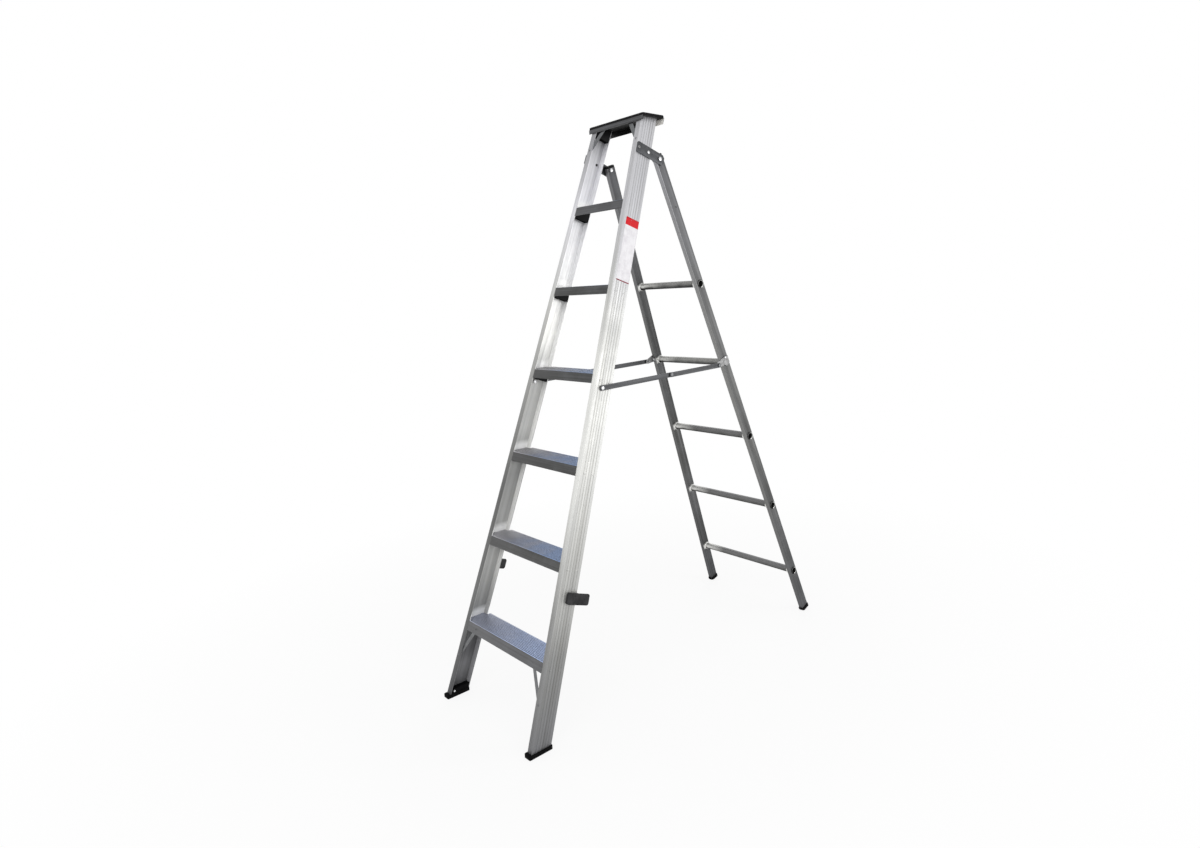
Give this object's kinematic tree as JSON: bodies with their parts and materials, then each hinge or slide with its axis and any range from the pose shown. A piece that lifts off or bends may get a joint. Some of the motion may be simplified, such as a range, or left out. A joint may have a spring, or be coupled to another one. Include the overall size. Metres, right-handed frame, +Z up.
{
  "type": "step ladder",
  "caption": "Free-standing folding aluminium step ladder: ribbed treads between leaning channel stiles, a small platform, a rear frame with round rungs and folding spreaders.",
  "frame": {"origin": "on the floor under the middle of the open ladder's outline", "axes": "+Z up, +X to the right of a person facing the treads, treads face -Y"},
  "size_m": [0.565, 1.5006, 2.08],
  "materials": {
    "mill_aluminium": "satin, as extruded",
    "tread_aluminium": "satin, ribbed",
    "grey_aluminium": "satin",
    "black_plastic": "matt, moulded",
    "black_rubber": "matt",
    "dark_steel": "dull grey",
    "zinc_steel": "bright"
  },
  "bodies": {
    "front_section": {"cap_bracket_left": "black_plastic", "cap_bracket_right": "black_plastic", "closing_guide_left": "black_plastic", "closing_guide_right": "black_plastic", "front_foot_left": "black_rubber", "front_foot_right": "black_rubber", "hinge_pivots": "zinc_steel", "hinge_plate_left": "dark_steel", "hinge_plate_right": "dark_steel", "spreader_studs": "zinc_steel", "step_1": "tread_aluminium", "step_2": "tread_aluminium", "step_3": "tread_aluminium", "step_4": "tread_aluminium", "step_5": "tread_aluminium", "step_6": "tread_aluminium", "step_brace_left": "grey_aluminium", "step_brace_right": "grey_aluminium", "step_bracket_left_1": "black_plastic", "step_bracket_left_2": "black_plastic", "step_bracket_left_3": "black_plastic", "step_bracket_left_4": "black_plastic", "step_bracket_left_5": "black_plastic", "step_bracket_left_6": "black_plastic", "step_bracket_right_1": "black_plastic", "step_bracket_right_2": "black_plastic", "step_bracket_right_3": "black_plastic", "step_bracket_right_4": "black_plastic", "step_bracket_right_5": "black_plastic", "step_bracket_right_6": "black_plastic", "stile_left": "mill_aluminium", "stile_right": "mill_aluminium", "top_brace_left": "grey_aluminium", "top_brace_right": "grey_aluminium", "top_cap": "grey_aluminium", "top_pad": "black_rubber"},
    "rear_section": {"rail_plug_left": "black_plastic", "rail_plug_right": "black_plastic", "rear_foot_left": "black_rubber", "rear_foot_right": "black_rubber", "rear_rail_left": "grey_aluminium", "rear_rail_right": "grey_aluminium", "rung_1": "grey_aluminium", "rung_2": "grey_aluminium", "rung_3": "grey_aluminium", "rung_4": "grey_aluminium", "rung_5": "grey_aluminium", "spreader_bracket_left": "dark_steel", "spreader_bracket_right": "dark_steel", "spreader_pins": "zinc_steel"},
    "front_bar_left": {"front_spreader_bar_left": "dark_steel"},
    "front_bar_right": {"front_spreader_bar_right": "dark_steel"},
    "rear_bar_left": {"rear_spreader_bar_left": "dark_steel"},
    "rear_bar_right": {"rear_spreader_bar_right": "dark_steel"}
  },
  "joints": [
    {"name": "fold", "type": "hinge", "parent": "front_section", "child": "rear_section", "pos_m": [0, 0.06197, 1.92101], "axis": [-1, 0, 0], "range_deg": [0, 38.5]},
    {"name": "front_bar_left_turn", "type": "hinge", "parent": "front_section", "child": "front_bar_left", "pos_m": [-0.2042, -0.3151, 1.1208], "axis": [1, 0, 0], "range_deg": [0, 63.9]},
    {"name": "rear_bar_left_turn", "type": "hinge", "parent": "rear_section", "child": "rear_bar_left", "pos_m": [-0.2075, 0.2871, 1.13578], "axis": [-1, 0, 0], "range_deg": [0, 69.5]},
    {"name": "front_bar_right_turn", "type": "hinge", "parent": "front_section", "child": "front_bar_right", "pos_m": [0.2042, -0.3151, 1.1208], "axis": [1, 0, 0], "range_deg": [0, 63.9]},
    {"name": "rear_bar_right_turn", "type": "hinge", "parent": "rear_section", "child": "rear_bar_right", "pos_m": [0.2075, 0.2871, 1.13578], "axis": [-1, 0, 0], "range_deg": [0, 69.5]}
  ],
  "couplings": [
    {"joint": "front_bar_left_turn", "follows": "fold", "ratio": 1.6532},
    {"joint": "rear_bar_left_turn", "follows": "fold", "ratio": 1.7994},
    {"joint": "front_bar_right_turn", "follows": "fold", "ratio": 1.6532},
    {"joint": "rear_bar_right_turn", "follows": "fold", "ratio": 1.7994}
  ]
}
